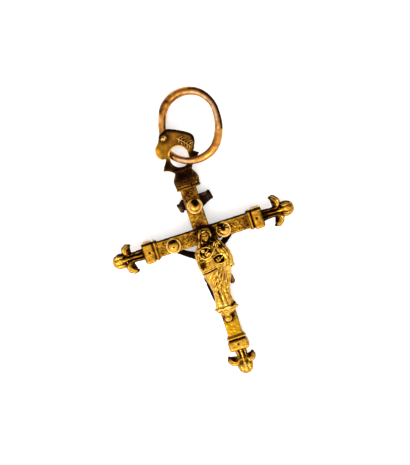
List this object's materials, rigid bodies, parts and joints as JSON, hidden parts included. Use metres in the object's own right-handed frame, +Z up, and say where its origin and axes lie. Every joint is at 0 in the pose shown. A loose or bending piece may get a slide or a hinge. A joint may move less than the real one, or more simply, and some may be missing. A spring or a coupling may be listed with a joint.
{
  "type": "cross pendant",
  "caption": "Cross pendant with flower-shaped ends, a robed figure with a child on its front, a crucified figure on its back, and a jump ring in its eye.",
  "frame": {"origin": "on the surface that the pendant lies on, under the middle of its bounding box", "axes": "+Y along the upright towards the jump ring, +X along the crossbar to the right seen from the front, +Z up out of the front face"},
  "size_m": [0.038, 0.0586, 0.0078],
  "materials": {
    "yellow_gold": "worn, engraved 18 carat yellow gold",
    "cast_gold": "cast and chased yellow gold, dark in the recesses",
    "rivet_gold": "polished yellow gold",
    "dull_gold": "dull, tarnished gold",
    "dark_gold": "dark tarnished gold in the shade",
    "rose_gold": "polished rose gold"
  },
  "bodies": {
    "root": {"cross_body": "yellow_gold", "end_cap_left": "yellow_gold", "end_cap_right": "yellow_gold", "end_cap_bottom": "yellow_gold", "pin_left": "dark_gold", "pin_right": "dark_gold", "pin_bottom": "dark_gold", "hanging_eye": "dull_gold", "jump_ring": "rose_gold", "boss_left": "rivet_gold", "boss_right": "rivet_gold", "boss_top": "rivet_gold", "foot_rivet": "rivet_gold", "madonna": "cast_gold", "madonna_post": "yellow_gold", "corpus": "dark_gold", "title_scroll": "dark_gold"}
  },
  "joints": []
}
